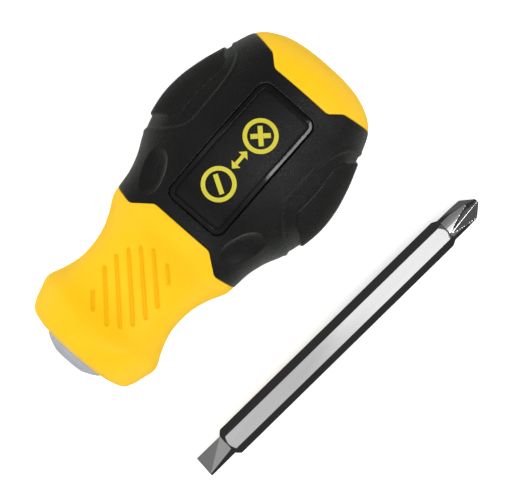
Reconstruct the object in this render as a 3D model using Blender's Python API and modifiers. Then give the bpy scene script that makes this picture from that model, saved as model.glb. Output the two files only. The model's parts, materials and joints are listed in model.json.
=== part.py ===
"""Reversible screwdriver: a stubby two-material handle with a hex socket in its nose, and the
loose double-ended blade that plugs into it, lying beside the handle.

The handle's axis is parallel to X, with the nose at its -X end and the butt at its +X end.
The set lies on the plane Z = 0, and the origin is at the middle of its footprint.
"""

import math

import bmesh
import bpy
from mathutils import Matrix, Vector

MM = 0.001
GAP = 0.3 * MM                      # clearance kept between neighbouring solids
CUTTER_MARGIN = 1.0 * MM            # how far cutters run past the faces they cut
OVERLAP = 0.01 * MM                 # how far joined solids run into each other
MERGE_DISTANCE = 0.01 * MM
ANCHOR_SIZE = 10.0 * MM

# ---------------------------------------------------------------- handle, stations from the nose tip
SECTION_RATIO = 0.92                # thickness over width of the handle's oval section
FRONT_FACE_X = 2.5 * MM             # where the yellow body starts behind the grey nose
# Half-width of the body at each station: collar, waist, shoulder, bulge, tail and domed butt
BODY_STATIONS = (
    (2.5, 10.3), (3.4, 12.8), (5.2, 14.1), (8.0, 15.0), (11.0, 15.65),
    (14.5, 14.25), (18.0, 13.1), (21.5, 12.75), (26.0, 13.2), (30.0, 14.6), (33.5, 16.4),
    (36.0, 16.85), (40.0, 17.3), (44.0, 18.5), (48.0, 20.4), (52.3, 21.7), (57.5, 22.4),
    (63.0, 22.1), (69.0, 20.7), (74.0, 19.1), (77.5, 18.1), (80.9, 16.5),
    (83.5, 13.4), (85.3, 8.4), (86.0, 0.0),
)
MAX_HALF_WIDTH = 22.4 * MM
SLEEVE_THICKNESS = 3.0 * MM
TURN_STEPS = 40
SLOPE_STEP = 0.2 * MM               # step for the body's slope, and the least gap along its outline
THINNEST_RADIUS = 0.5 * MM          # body points nearer to the axis are left out of an offset outline

# Soft grip: its front and rear edges step in towards the middle of the handle's broad faces
GRIP_FRONT_MID_X = 38.4 * MM
GRIP_FRONT_STEP_X = 34.9 * MM
GRIP_FRONT_SIDE_X = 35.7 * MM
GRIP_FRONT_MID_Y = 7.7 * MM
GRIP_FRONT_STEP_Y = 12.2 * MM
GRIP_REAR_MID_X = 76.8 * MM
GRIP_REAR_STEP_X = 79.3 * MM
GRIP_REAR_SIDE_X = 80.9 * MM
GRIP_REAR_MID_Y = 7.5 * MM
GRIP_REAR_STEP_Y = 10.2 * MM
GRIP_SIDE_Y = 17.0 * MM
BEYOND_Y = 28.0 * MM                # anything past the handle's sides
EDGE_ROUNDING = 1.8 * MM

# Badge plates on the two broad faces
CUTTER_START = 6.0 * MM             # cutters for one face or side start this far from the axis
BADGE_X = (41.6 * MM, 73.5 * MM)
BADGE_HALF_WIDTH = 7.4 * MM
BADGE_CORNER = 2.1 * MM
BADGE_SUNK = 0.1 * MM
BADGE_THICKNESS = 1.5 * MM

# Raised finger pads on the two sides
PAD_X = (52.2 * MM, 74.3 * MM)
PAD_HALF_HEIGHT = 14.2 * MM
PAD_CORNER = 5.0 * MM
PAD_RISE = 0.7 * MM

# Scalloped dents at the front of the grip, and the thumb rests hollowed across the neck
DENT_POINT = (43.4 * MM, 12.6 * MM)
DENT_RADII = (5.4 * MM, 3.3 * MM, 0.9 * MM)
DENT_SLANT = math.radians(22)
THUMB_REST_X = 20.7 * MM
THUMB_REST_HALF_THICKNESS = 9.2 * MM
THUMB_REST_RADIUS = 15.3 * MM

# Socket insert, its spring ring and the stop disc behind it
NOSE_LINE = ((0.0, 4.1), (0.5, 5.3), (1.4, 7.0), (2.4, 8.0))
NOSE_RADIUS = 8.0 * MM
NOSE_SEAT_X = 6.0 * MM
SHANK_RADIUS = 6.6 * MM
SOCKET_DEPTH = 48.0 * MM
SOCKET_FLATS = 6.55 * MM
RING_X = 8.7 * MM
RING_WIRE_RADIUS = 0.5 * MM
RING_RADIUS = 4.1 * MM
RING_OPENING = math.radians(50)
RING_STEPS = 28
STOP_THICKNESS = 1.5 * MM
STOP_RADIUS = 6.2 * MM

# ---------------------------------------------------------------- blade, stations from its slot tip
BLADE_LENGTH = 87.0 * MM
BLADE_FLATS = 6.35 * MM             # quarter-inch hexagon
BLADE_YAW = math.radians(-4.4)
BLADE_MID = (43.5 * MM, -42.2 * MM)
SLOT_TIP_WIDTH = 5.5 * MM
SLOT_TIP_THICKNESS = 1.0 * MM
SLOT_TIP_ROLL = math.radians(-33)
SLOT_TIP_LENGTH = 7.5 * MM
SLOT_ROOT_RADIUS = 2.75 * MM
SLOT_ROOT_ANGLES = (17, 119.4, 197, 299.4)
SHOULDER_LENGTH = 1.3 * MM
CROSS_NECK_X = 77.3 * MM            # where the round neck of the cross tip starts
CROSS_RADIUS = 3.0 * MM
CROSS_CONE_X = 84.2 * MM
CROSS_TIP_RADIUS = 0.55 * MM
CROSS_ROLL = math.radians(-25)
FLUTE_LENGTH = 8.7 * MM
FLUTE_TIP_DEPTH = 0.5 * MM          # distance of a flute's root from the axis at the very tip
FLUTE_HALF_ANGLE = math.radians(57)
FLUTE_BLOCK = (20.0 * MM, 5.0 * MM, 5.0 * MM)
SHOULDER_RELIEF = 0.05 * MM         # keeps the cones just clear of the corners they meet

AXIS_HEIGHT = MAX_HALF_WIDTH * SECTION_RATIO
BLADE_CORNER_RADIUS = BLADE_FLATS / math.sqrt(3)

# Footprint of the set, which puts the origin at its middle
SET_END_X = BLADE_MID[0] + BLADE_LENGTH / 2 * math.cos(BLADE_YAW)
SET_LOW_Y = BLADE_MID[1] + (BLADE_LENGTH / 2 - CROSS_RADIUS) * math.sin(BLADE_YAW) - CROSS_RADIUS
SET_HIGH_Y = MAX_HALF_WIDTH + PAD_RISE
SET_MID = Vector((SET_END_X / 2, (SET_LOW_Y + SET_HIGH_Y) / 2, 0))

MATERIALS = {
    "yellow_plastic": ((1.0, 0.6, 0.03), 0.35, 0.0),
    "black_rubber": ((0.015, 0.016, 0.017), 0.6, 0.0),
    "grey_plastic": ((0.3, 0.33, 0.38), 0.35, 0.0),
    "badge_plastic": ((0.02, 0.02, 0.02), 0.3, 0.0),
    "plated_steel": ((0.7, 0.7, 0.7), 0.25, 1.0),
    "spring_steel": ((0.45, 0.45, 0.47), 0.3, 1.0),
    "stop_steel": ((0.5, 0.5, 0.52), 0.4, 1.0),
}


# ---------------------------------------------------------------- scene and helper functions
def clear_scene():
    for obj in list(bpy.data.objects):
        bpy.data.objects.remove(obj, do_unlink=True)


def new_collection(name, hidden=False):
    collection = bpy.data.collections.new(name)
    collection.hide_render = hidden
    bpy.context.scene.collection.children.link(collection)
    return collection


def new_material(name):
    color, roughness, metallic = MATERIALS[name]
    material = bpy.data.materials.new(name)
    material.use_nodes = True
    shader = material.node_tree.nodes["Principled BSDF"]
    shader.inputs["Base Color"].default_value = (*color, 1)
    shader.inputs["Roughness"].default_value = roughness
    shader.inputs["Metallic"].default_value = metallic
    return material


def new_anchor(name, location, yaw=0.0):
    anchor = bpy.data.objects.new(name, None)
    anchor.location = location
    anchor.rotation_euler.z = yaw
    anchor.empty_display_size = ANCHOR_SIZE
    PARTS.objects.link(anchor)
    return anchor


def place(name, mesh, anchor, material=None):
    """Link a mesh as a part, or as a hidden wire cutter when it has no material."""
    obj = bpy.data.objects.new(name, mesh)
    obj.parent = anchor
    if material:
        obj.data.materials.append(new_material(material))
        PARTS.objects.link(obj)
    else:
        obj.hide_render = True
        obj.display_type = "WIRE"
        CUTTERS.objects.link(obj)
    return obj


def combine(obj, operation, other):
    modifier = obj.modifiers.new(f"{operation.lower()}_{other.name}", "BOOLEAN")
    modifier.operation = operation
    modifier.object = other
    modifier.solver = "EXACT"
    return obj


def smooth_line(points, steps):
    """Catmull-Rom curve through the points, with the given number of steps for each span."""
    ends = [2 * points[0] - points[1], *points, 2 * points[-1] - points[-2]]
    line = []
    for a, b, c, d in zip(ends, ends[1:], ends[2:], ends[3:]):
        for i in range(steps):
            t = i / steps
            line.append(b + (c - a) * t / 2 + (2 * a - 5 * b + 4 * c - d) * t**2 / 2
                        + (3 * b - a - 3 * c + d) * t**3 / 2)
    return line + [points[-1]]


def body_line(offset, steps):
    """The handle's half outline from nose to butt, moved in or out by an offset."""
    stations = [Vector((x * MM, r * MM)) for x, r in BODY_STATIONS]
    line = smooth_line(stations, steps)
    shifted = [Vector((p.x, max(p.y + offset, 0.0))) for p in line[:-1] if p.y + offset > THINNEST_RADIUS]
    end = Vector((line[-1].x + offset, 0.0))
    return [p for p in shifted if p.x < end.x - SLOPE_STEP] + [end]


def half_width(x):
    line = body_line(0.0, 4)
    for a, b in zip(line, line[1:]):
        if a.x <= x <= b.x:
            return a.y + (b.y - a.y) * (x - a.x) / (b.x - a.x)
    return 0.0


def turned(name, outline, anchor, material=None, ratio=1.0):
    """A solid of revolution about X from (station, radius) points that run from nose to butt."""
    mesh = bpy.data.meshes.new(name)
    points = [(p[1], 0.0, p[0]) for p in reversed(outline)]
    mesh.from_pydata(points, [(i, i + 1) for i in range(len(points) - 1)], [])
    obj = place(name, mesh, anchor, material)
    obj.rotation_euler.y = math.radians(90)
    obj.scale.x = ratio
    screw = obj.modifiers.new("turn", "SCREW")
    screw.steps = screw.render_steps = TURN_STEPS
    screw.use_merge_vertices = True
    screw.merge_threshold = MERGE_DISTANCE
    screw.use_smooth_shade = True
    return obj


def closed(outline):
    """Run an outline to the axis at both ends."""
    first, last = outline[0], outline[-1]
    return [Vector((first[0], 0.0)), *outline] + ([] if last[1] == 0 else [Vector((last[0], 0.0))])


def body(name, offset, anchor, material=None, steps=1):
    return turned(name, closed(body_line(offset, steps)), anchor, material, SECTION_RATIO)


def rounded(corners, radius, steps=5):
    """Replace each corner of a closed polygon with an arc of the given radius."""
    corners = [Vector(c) for c in corners]
    outline = []
    for i, corner in enumerate(corners):
        back = (corners[i - 1] - corner).normalized()
        ahead = (corners[(i + 1) % len(corners)] - corner).normalized()
        half_angle = math.acos(max(-1.0, min(1.0, back.dot(ahead)))) / 2
        if math.degrees(half_angle) > 88:
            outline.append(corner)
            continue
        run = radius / math.tan(half_angle)
        centre = corner + (back + ahead).normalized() * radius / math.sin(half_angle)
        start = corner + back * run - centre
        end = corner + ahead * run - centre
        turn = math.atan2(start.cross(end), start.dot(end))
        for k in range(steps + 1):
            outline.append(centre + Matrix.Rotation(turn * k / steps, 2) @ start)
    return outline


def prism(name, outline, low, high, anchor, axis="Z"):
    """A cutter with a flat outline in XY, or in XZ when it is extruded along Y."""
    curve = bpy.data.curves.new(name + "_outline", "CURVE")
    curve.dimensions = "2D"
    curve.fill_mode = "BOTH"
    curve.extrude = (high - low) / 2
    spline = curve.splines.new("POLY")
    spline.points.add(len(outline) - 1)
    for point, corner in zip(spline.points, outline):
        point.co = (corner.x, corner.y, 0, 1)
    spline.use_cyclic_u = True
    flat = bpy.data.objects.new(name + "_outline", curve)
    CUTTERS.objects.link(flat)
    bpy.context.view_layer.update()
    graph = bpy.context.evaluated_depsgraph_get()
    mesh = bpy.data.meshes.new_from_object(flat.evaluated_get(graph))
    bpy.data.objects.remove(flat)
    weld = bmesh.new()
    weld.from_mesh(mesh)
    bmesh.ops.remove_doubles(weld, verts=weld.verts, dist=MERGE_DISTANCE)
    bmesh.ops.recalc_face_normals(weld, faces=weld.faces)
    weld.to_mesh(mesh)
    weld.free()
    obj = place(name, mesh, anchor)
    if axis == "Z":
        obj.location.z = (low + high) / 2
    else:
        obj.rotation_euler.x = math.radians(90)
        obj.location.y = (low + high) / 2
    return obj


def box_outline(low, high, half, radius):
    corners = ((low, -half), (high, -half), (high, half), (low, half))
    return rounded(corners, radius)


def surface_frame(x, y, side, slant=0.0):
    """A frame on the handle's broad face: Z along the outward normal, X along the slant."""
    def height(px, py):
        width = half_width(px)
        return SECTION_RATIO * math.sqrt(max(width**2 - py**2, 0.0))
    slope_x = (height(x + SLOPE_STEP, y) - height(x - SLOPE_STEP, y)) / (2 * SLOPE_STEP)
    slope_y = (height(x, y + SLOPE_STEP) - height(x, y - SLOPE_STEP)) / (2 * SLOPE_STEP)
    normal = Vector((-slope_x, -slope_y, 1)).normalized()
    along = Vector((math.cos(slant), math.sin(slant), 0))
    along = (along - normal * along.dot(normal)).normalized()
    across = normal.cross(along)
    frame = Matrix((along, across, normal)).transposed().to_4x4()
    frame.translation = (x, y, height(x, y))
    if side < 0:
        frame = Matrix.Diagonal((1, 1, -1, 1)) @ frame
    return frame


def ellipsoid(name, radii, frame, anchor):
    mesh = bpy.data.meshes.new(name)
    ball = bmesh.new()
    bmesh.ops.create_uvsphere(ball, u_segments=24, v_segments=12, radius=1)
    bmesh.ops.transform(ball, matrix=frame @ Matrix.Diagonal((*radii, 1)), verts=ball.verts)
    bmesh.ops.recalc_face_normals(ball, faces=ball.faces)
    ball.to_mesh(mesh)
    ball.free()
    return place(name, mesh, anchor)


# ---------------------------------------------------------------- cutters that shape the handle
def grip_zone(name, grow):
    """The stretch of the handle that the soft grip covers, seen on its broad face."""
    half = (
        (GRIP_FRONT_SIDE_X - grow, BEYOND_Y),
        (GRIP_FRONT_SIDE_X - grow, GRIP_SIDE_Y),
        (GRIP_FRONT_STEP_X - grow, GRIP_FRONT_STEP_Y),
        (GRIP_FRONT_MID_X - grow, GRIP_FRONT_MID_Y),
    )
    rear = (
        (GRIP_REAR_MID_X + grow, GRIP_REAR_MID_Y),
        (GRIP_REAR_STEP_X + grow, GRIP_REAR_STEP_Y),
        (GRIP_REAR_SIDE_X + grow, GRIP_SIDE_Y),
        (GRIP_REAR_SIDE_X + grow, BEYOND_Y),
    )
    front_edge = half + tuple((x, -y) for x, y in reversed(half))
    rear_edge = tuple((x, -y) for x, y in reversed(rear)) + rear
    return prism(name, rounded(front_edge + rear_edge, EDGE_ROUNDING, 4), -BEYOND_Y, BEYOND_Y, HANDLE)


def shape_grip():
    """The sleeve's outer form: the body with a raised pad on each side, cut to the grip zone."""
    grip = body("grip_sleeve", 0.0, HANDLE, "black_rubber", steps=2)
    outline = box_outline(PAD_X[0], PAD_X[1], PAD_HALF_HEIGHT, PAD_CORNER)
    for name, side in (("left", 1), ("right", -1)):
        low, high = sorted((side * CUTTER_START, side * BEYOND_Y))
        pad = prism(f"pad_{name}", outline, low, high, HANDLE, axis="Y")
        combine(pad, "INTERSECT", body(f"pad_face_{name}", PAD_RISE, HANDLE, steps=2))
        combine(grip, "UNION", pad)
    combine(grip, "INTERSECT", grip_zone("grip_zone", 0.0))
    combine(grip, "DIFFERENCE", body("sleeve_bore", -SLEEVE_THICKNESS, HANDLE))
    return grip


def cut_dents(grip):
    for side in (1, -1):
        for across in (1, -1):
            frame = surface_frame(DENT_POINT[0], across * DENT_POINT[1], side, across * DENT_SLANT)
            name = f"dent_{'front' if side > 0 else 'back'}_{'left' if across > 0 else 'right'}"
            combine(grip, "DIFFERENCE", ellipsoid(name, DENT_RADII, frame, HANDLE))


def thumb_rest(name, side):
    """A round bar across the neck that hollows one broad face of it."""
    mesh = bpy.data.meshes.new(name)
    bar = bmesh.new()
    bmesh.ops.create_cone(bar, cap_ends=True, segments=2 * TURN_STEPS, depth=2 * BEYOND_Y,
                          radius1=THUMB_REST_RADIUS, radius2=THUMB_REST_RADIUS)
    bar.to_mesh(mesh)
    bar.free()
    mesh.shade_smooth()
    cutter = place(name, mesh, HANDLE)
    cutter.rotation_euler.x = math.radians(90)
    cutter.location = (THUMB_REST_X, 0, side * (THUMB_REST_HALF_THICKNESS + THUMB_REST_RADIUS))
    return cutter


def make_core():
    """Hard core: neck, the spindle under the grip, and the butt, bored for the socket insert."""
    core = body("handle_core", 0.0, HANDLE, "yellow_plastic", steps=2)
    ring = grip_zone("sleeve_space", GAP)
    combine(ring, "DIFFERENCE", body("spindle", -SLEEVE_THICKNESS - GAP, HANDLE))
    combine(core, "DIFFERENCE", ring)
    for name, side in (("front", 1), ("back", -1)):
        combine(core, "DIFFERENCE", thumb_rest(f"thumb_rest_{name}", side))
    bore_end = SOCKET_DEPTH + STOP_THICKNESS + 2 * GAP
    bore = (
        (FRONT_FACE_X - CUTTER_MARGIN, NOSE_RADIUS + GAP),
        (NOSE_SEAT_X + GAP, NOSE_RADIUS + GAP),
        (NOSE_SEAT_X + GAP, SHANK_RADIUS + GAP),
        (bore_end, SHANK_RADIUS + GAP),
    )
    combine(core, "DIFFERENCE", turned("insert_bore", closed(bore), HANDLE))
    return core


def make_badge(name, side, grip):
    """A badge plate let into one broad face, with a pocket for it in the grip."""
    low, high = sorted((side * CUTTER_START, side * BEYOND_Y))
    outline = box_outline(BADGE_X[0], BADGE_X[1], BADGE_HALF_WIDTH, BADGE_CORNER)
    plate = prism(name + "_outline", outline, low, high, HANDLE)
    badge = body(name, -BADGE_SUNK, HANDLE, "badge_plastic")
    combine(badge, "INTERSECT", plate)
    combine(badge, "DIFFERENCE", body(name + "_underside", -BADGE_SUNK - BADGE_THICKNESS, HANDLE))
    wider = box_outline(BADGE_X[0] - GAP, BADGE_X[1] + GAP, BADGE_HALF_WIDTH + GAP, BADGE_CORNER + GAP)
    pocket = prism(name + "_pocket", wider, low, high, HANDLE)
    floor = -BADGE_SUNK - BADGE_THICKNESS - GAP
    combine(pocket, "DIFFERENCE", body(name + "_pocket_floor", floor, HANDLE))
    combine(grip, "DIFFERENCE", pocket)


def hexagon_bar(name, flats, low, high, anchor, material=None):
    """A hexagonal bar along X with a pair of flats facing up and down."""
    mesh = bpy.data.meshes.new(name)
    bar = bmesh.new()
    bmesh.ops.create_cone(bar, cap_ends=True, segments=6, depth=high - low,
                          radius1=flats / math.sqrt(3), radius2=flats / math.sqrt(3))
    lay_down = Matrix.Translation(((low + high) / 2, 0, 0)) @ Matrix.Rotation(math.radians(90), 4, "Y")
    bmesh.ops.transform(bar, matrix=lay_down, verts=bar.verts)
    bar.to_mesh(mesh)
    bar.free()
    return place(name, mesh, anchor, material)


def make_socket():
    """The nose and socket in one piece, with the spring ring in a groove and the stop behind."""
    nose = smooth_line([Vector(p) * MM for p in NOSE_LINE], 3)
    outline = [*nose, (NOSE_SEAT_X, NOSE_RADIUS), (NOSE_SEAT_X, SHANK_RADIUS), (SOCKET_DEPTH, SHANK_RADIUS)]
    insert = turned("socket_insert", closed(outline), HANDLE, "grey_plastic")
    hole = hexagon_bar("socket_hole", SOCKET_FLATS, -CUTTER_MARGIN, SOCKET_DEPTH + CUTTER_MARGIN, HANDLE)
    combine(insert, "DIFFERENCE", hole)
    reach = RING_WIRE_RADIUS + GAP
    groove = (
        (RING_X - reach, RING_RADIUS + reach),
        (RING_X + reach, RING_RADIUS + reach),
    )
    combine(insert, "DIFFERENCE", turned("ring_groove", closed(groove), HANDLE))

    curve = bpy.data.curves.new("retaining_ring", "CURVE")
    curve.dimensions = "3D"
    curve.bevel_depth = RING_WIRE_RADIUS
    curve.bevel_resolution = 2
    curve.use_fill_caps = True
    spline = curve.splines.new("POLY")
    spline.points.add(RING_STEPS)
    sweep = 2 * math.pi - RING_OPENING
    for i, point in enumerate(spline.points):
        angle = RING_OPENING / 2 + sweep * i / RING_STEPS
        point.co = (RING_X, RING_RADIUS * math.cos(angle), RING_RADIUS * math.sin(angle), 1)
    place("retaining_ring", curve, HANDLE, "spring_steel")

    mesh = bpy.data.meshes.new("stop_disc")
    disc = bmesh.new()
    bmesh.ops.create_cone(disc, cap_ends=True, segments=32, depth=STOP_THICKNESS,
                          radius1=STOP_RADIUS, radius2=STOP_RADIUS)
    disc.to_mesh(mesh)
    disc.free()
    mesh.shade_smooth()
    mesh.set_sharp_from_angle(angle=math.radians(40))
    stop = place("stop_disc", mesh, HANDLE, "stop_steel")
    stop.location.x = SOCKET_DEPTH + GAP + STOP_THICKNESS / 2
    stop.rotation_euler.y = math.radians(90)


# ---------------------------------------------------------------- blade
def along_blade(station):
    """Blade stations run from its slot tip, and its own origin is at its middle."""
    return station - BLADE_LENGTH / 2


def make_slot_tip():
    """Forged wedge: a loft from a thin rolled rectangle to an oblong root section."""
    width = Vector((0, math.cos(SLOT_TIP_ROLL), math.sin(SLOT_TIP_ROLL))) * SLOT_TIP_WIDTH / 2
    depth = Vector((0, -math.sin(SLOT_TIP_ROLL), math.cos(SLOT_TIP_ROLL))) * SLOT_TIP_THICKNESS / 2
    tip = [width + depth, -width + depth, -width - depth, width - depth]
    root = [Vector((0, math.cos(math.radians(a)), math.sin(math.radians(a)))) * SLOT_ROOT_RADIUS
            for a in SLOT_ROOT_ANGLES]
    stations = (0.0, SLOT_TIP_LENGTH, SLOT_TIP_LENGTH + SHOULDER_LENGTH)
    wedge = bmesh.new()
    rows = []
    for station, section in zip(stations, (tip, root, root)):
        offset = Vector((along_blade(station), 0, 0))
        rows.append([wedge.verts.new(point + offset) for point in section])
    for near, far in zip(rows, rows[1:]):
        for i in range(4):
            j = (i + 1) % 4
            wedge.faces.new((near[i], near[j], far[i]))
            wedge.faces.new((near[j], far[j], far[i]))
    wedge.faces.new(rows[0])
    wedge.faces.new(rows[-1])
    bmesh.ops.recalc_face_normals(wedge, faces=wedge.faces)
    mesh = bpy.data.meshes.new("slot_tip")
    wedge.to_mesh(mesh)
    wedge.free()
    return place("slot_tip", mesh, BLADE)


def make_cross_tip():
    """Round neck and blunt cone with four flutes that leave a cross of wings."""
    outline = [(along_blade(x), r) for x, r in (
        (CROSS_NECK_X - CUTTER_MARGIN, CROSS_RADIUS),
        (CROSS_CONE_X, CROSS_RADIUS),
        (BLADE_LENGTH, CROSS_TIP_RADIUS),
    )]
    tip = turned("cross_tip", closed(outline), BLADE)
    slope = math.atan2(CROSS_RADIUS - FLUTE_TIP_DEPTH, FLUTE_LENGTH)
    for i in range(4):
        mesh = bpy.data.meshes.new(f"flute_{i}")
        block = bmesh.new()
        bmesh.ops.create_cube(block, size=1)
        bmesh.ops.scale(block, vec=FLUTE_BLOCK, verts=block.verts)
        bmesh.ops.rotate(block, matrix=Matrix.Rotation(math.radians(45), 3, "X"), verts=block.verts)
        bmesh.ops.scale(block, vec=(1, math.tan(FLUTE_HALF_ANGLE), 1), verts=block.verts)
        bmesh.ops.translate(block, vec=(0, 0, FLUTE_BLOCK[2] / math.sqrt(2)), verts=block.verts)
        bmesh.ops.rotate(block, matrix=Matrix.Rotation(slope, 3, "Y"), verts=block.verts)
        bmesh.ops.translate(block, vec=(along_blade(BLADE_LENGTH), 0, FLUTE_TIP_DEPTH), verts=block.verts)
        spin = CROSS_ROLL + math.radians(45 + 90 * i)
        bmesh.ops.rotate(block, matrix=Matrix.Rotation(spin, 3, "X"), verts=block.verts)
        block.to_mesh(mesh)
        block.free()
        combine(tip, "DIFFERENCE", place(f"flute_{i}", mesh, BLADE))
    return tip


def make_blade():
    """Hexagonal bar with coned shoulders, a slot tip at one end and a cross tip at the other."""
    start, end = SLOT_TIP_LENGTH, CROSS_NECK_X
    blade = hexagon_bar("blade", BLADE_FLATS, along_blade(start), along_blade(end), BLADE, "plated_steel")
    shoulder = BLADE_CORNER_RADIUS + SHOULDER_RELIEF
    envelope = [(along_blade(x), r) for x, r in (
        (start - OVERLAP, SLOT_ROOT_RADIUS + SHOULDER_RELIEF),
        (start + SHOULDER_LENGTH, shoulder),
        (end - SHOULDER_LENGTH, shoulder),
        (end + OVERLAP, CROSS_RADIUS),
    )]
    combine(blade, "INTERSECT", turned("shoulders", closed(envelope), BLADE))
    combine(blade, "UNION", make_slot_tip())
    combine(blade, "UNION", make_cross_tip())
    return blade


clear_scene()
PARTS = new_collection("reversible_screwdriver")
CUTTERS = new_collection("cutters", hidden=True)
HANDLE = new_anchor("handle_axis", Vector((0, 0, AXIS_HEIGHT)) - SET_MID)
BLADE = new_anchor("blade_axis", Vector((*BLADE_MID, BLADE_FLATS / 2)) - SET_MID, BLADE_YAW)

make_core()
grip_sleeve = shape_grip()
cut_dents(grip_sleeve)
make_badge("badge_front", 1, grip_sleeve)
make_badge("badge_back", -1, grip_sleeve)
make_socket()
make_blade()
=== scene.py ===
"""Looks of the reversible screwdriver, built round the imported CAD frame.

Handle sizes are millimetres in the handle's own frame: X is the station from the nose tip along
the axis, Z points out of the front face, and t is the angle round the axis from +Z towards +Y.
Blade sizes are millimetres from its slot tip along its own axis.
"""

import json
import math

import bmesh
import bpy
import numpy as np
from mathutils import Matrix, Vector


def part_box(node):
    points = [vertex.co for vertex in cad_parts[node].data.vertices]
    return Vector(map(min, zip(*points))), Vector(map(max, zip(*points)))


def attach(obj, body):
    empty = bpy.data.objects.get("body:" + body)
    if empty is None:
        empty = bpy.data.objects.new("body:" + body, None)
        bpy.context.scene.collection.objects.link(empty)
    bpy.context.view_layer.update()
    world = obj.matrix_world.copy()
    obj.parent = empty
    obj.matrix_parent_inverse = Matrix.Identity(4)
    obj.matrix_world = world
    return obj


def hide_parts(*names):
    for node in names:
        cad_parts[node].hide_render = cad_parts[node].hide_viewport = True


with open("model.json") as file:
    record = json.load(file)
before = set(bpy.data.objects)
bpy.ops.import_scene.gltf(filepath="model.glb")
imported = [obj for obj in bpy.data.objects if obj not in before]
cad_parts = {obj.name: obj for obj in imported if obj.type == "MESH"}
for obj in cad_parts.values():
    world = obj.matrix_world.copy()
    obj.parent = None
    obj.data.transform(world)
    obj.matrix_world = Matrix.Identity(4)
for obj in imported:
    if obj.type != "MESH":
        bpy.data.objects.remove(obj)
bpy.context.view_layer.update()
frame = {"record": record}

MM = 0.001
WELD_DISTANCE = 0.002 * MM
TINY = 0.001                         # keeps a ratio finite
CAP_RADIUS = 1.0                     # of the small flat cap that closes a bore or a disc

# ---------------------- handle sizes, as in the CAD
SECTION_RATIO = 0.92
BODY_STATIONS = (
    (2.5, 10.3), (3.4, 12.8), (5.2, 14.1), (8.0, 15.0), (11.0, 15.65),
    (14.5, 14.25), (18.0, 13.1), (21.5, 12.75), (26.0, 13.2), (30.0, 14.6), (33.5, 16.4),
    (36.0, 16.85), (40.0, 17.3), (44.0, 18.5), (48.0, 20.4), (52.3, 21.7), (57.5, 22.4),
    (63.0, 22.1), (69.0, 20.7), (74.0, 19.1), (77.5, 18.1), (80.9, 16.5),
    (83.5, 13.4), (85.3, 8.4), (86.0, 0.0),
)
MAX_HALF_WIDTH = 22.4
SLEEVE_THICKNESS = 3.0
FRONT_EDGE = ((38.4, 0.0), (38.4, 7.7), (34.9, 12.2), (35.7, 17.0), (35.7, 28.0))
REAR_EDGE = ((76.8, 0.0), (76.8, 7.5), (79.3, 10.2), (80.9, 17.0), (80.9, 28.0))
EDGE_ROUNDING = 1.8
EDGE_PASSES = 40                     # rounds that settle where a grip edge crosses each angle

BADGE_X = (41.6, 73.5)
BADGE_HALF_WIDTH = 7.4
BADGE_CORNER = 2.1
BADGE_LEAST_CORNER = 0.5
BADGE_GAP = 0.3
BADGE_POCKET_Y = 6.5                 # the grip needs no detail nearer to the middle than this

SOCKET_DEPTH = 48.0
SOCKET_FLATS = 6.55
NOSE_RADIUS = 8.0
NOSE_LINE = ((0.0, 4.1), (0.5, 5.3), (1.4, 7.0), (2.4, NOSE_RADIUS))
NOSE_SEAT_X = 6.0
SHANK_RADIUS = 6.6
BORE_GAP = 0.3
RING_X = 8.7
RING_RADIUS = 4.1
RING_WIRE_RADIUS = 0.5
RING_OPENING = math.radians(50)
STOP_RADIUS = 6.2
STOP_THICKNESS = 1.5

# ---------------------- fine edges of the hidden pieces
SOCKET_EDGE_RADIUS = 0.15
SOCKET_MOUTH = ((0.5, 0.0), (0.15, 0.12))       # station, and how far the hexagon has opened there
NOSE_RIM = (0.02, 3.95)
NOSE_CHAMFER = 0.2
SHANK_CHAMFER = 0.4
RING_END_START = 0.1                 # radians into a rounded wire end at which it is cut off flat
STOP_RIM = ((0, 0.25), (0.08, 0.08), (0.25, 0))    # depth, and how far its edge is cut back there

# ---------------------- surface detail of the handle
SEAM = 0.05                          # gap left between the yellow core and the black grip
SEAM_LIP = 0.1                       # how far the core's edge is cut back along a seam
CORE_WALL_DEPTH = 1.0                # of the ring halfway down the core's wall at a seam
CORE_CLEARANCE = 0.15                # between the core's spindle and the grip
CORE_FINE_X = (12.3, 31.0)           # the stretch whose mesh is fine enough for the grooves
CORE_FINE_STEP = 0.15
CORE_FINE_Y = 9.0
NECK_HALF_WIDTH = 12.8
MOUTH_CHAMFER = 0.15
BUTT_END = 0.996                     # share of the butt's length at which a small cap closes it
GRIP_LIP = 0.3                       # radius of the grip's rounded edges
GRIP_WALL_DEPTH = 1.2                # of the ring halfway down the grip's end walls
GRIP_SHARP_ANGLE = math.radians(35)
POCKET_FLOOR = -2.0                  # under the body line
POCKET_TOP = 30.0                    # clear of the grip

THUMB_REST_X = 20.7
THUMB_REST_RADIUS = 15.3
THUMB_REST_HALF_THICKNESS = 9.2
THUMB_REST_BLEND = 4.5
GROOVE_MID_X = 21.4
GROOVE_PITCH = 2.72
GROOVE_HALF_WIDTH = 0.52
GROOVE_WALL = (0.1, 1.2)             # where its wall starts and ends, in shares of its half width
GROOVE_DEPTH = 0.75
GROOVE_STAGGER = -0.27               # slide of the grooves' middles for each millimetre across them
GROOVE_FIELD_RADIUS = 8.5
GROOVE_COUNT = 7
RELIEF_LEAST_Z = 1                   # points nearer to the middle plane than this stay in place

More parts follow.
